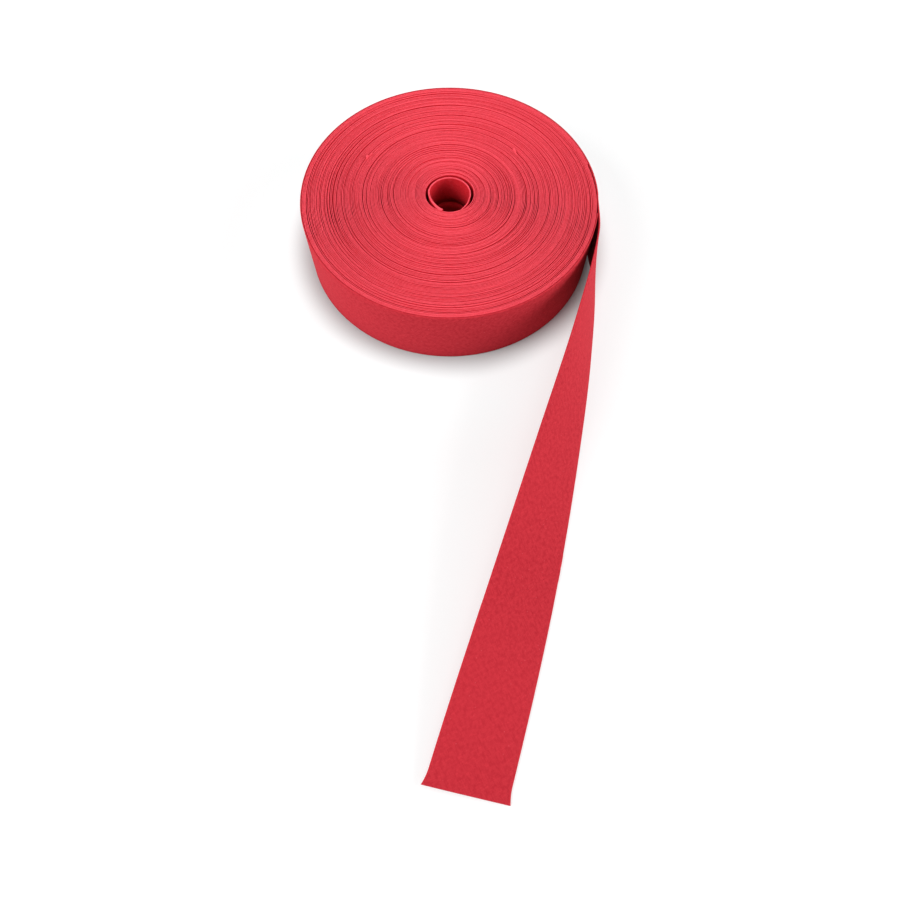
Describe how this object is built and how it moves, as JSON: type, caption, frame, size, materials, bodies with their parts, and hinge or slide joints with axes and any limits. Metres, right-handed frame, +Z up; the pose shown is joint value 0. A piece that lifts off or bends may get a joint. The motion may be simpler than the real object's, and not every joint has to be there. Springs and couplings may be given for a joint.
{
  "type": "binding tape roll",
  "caption": "Coreless roll of folded bias binding tape lying flat, with its free end drawn off across the table.",
  "frame": {"origin": "middle of the whole object's base, on the surface that the roll and its free tail lie on; the roll's own axis stands at x -0.0013, y 0.0888", "axes": "+Z up along the roll's axis, -Y along the free tail from the roll towards its cut end, +X to the side on which the tape leaves the roll"},
  "size_m": [0.1366, 0.3116, 0.03],
  "materials": {
    "tape": "matt plain-weave cotton cut on the bias and pressed",
    "thread": "matt sewing thread"
  },
  "bodies": {
    "roll": {"wound_length_01": "tape", "wound_length_02": "tape", "wound_length_03": "tape", "wound_length_04": "tape", "wound_length_05": "tape", "wound_length_06": "tape", "wound_length_07": "tape", "wound_length_08": "tape", "wound_length_09": "tape", "wound_length_10": "tape", "wound_length_11": "tape", "wound_length_12": "tape", "join_thread_01": "thread", "join_thread_02": "thread", "join_thread_03": "thread", "join_thread_04": "thread", "join_thread_05": "thread", "join_thread_06": "thread", "join_thread_07": "thread", "join_thread_08": "thread", "join_thread_09": "thread", "join_thread_10": "thread", "join_thread_11": "thread"},
    "running": {"running_turn": "tape"},
    "tail": {"free_tail": "tape", "end_length": "tape", "tail_join_thread": "thread"}
  },
  "joints": [
    {"name": "running_turn_spin", "type": "hinge", "parent": "roll", "child": "running", "pos_m": [-0.00129, 0.08877, 0], "axis": [0, 0, 1], "continuous": true},
    {"name": "tail_swing", "type": "hinge", "parent": "running", "child": "tail", "pos_m": [0.06531, 0.08877, 0], "axis": [0, 0, 1], "range_deg": [0, 60]}
  ]
}
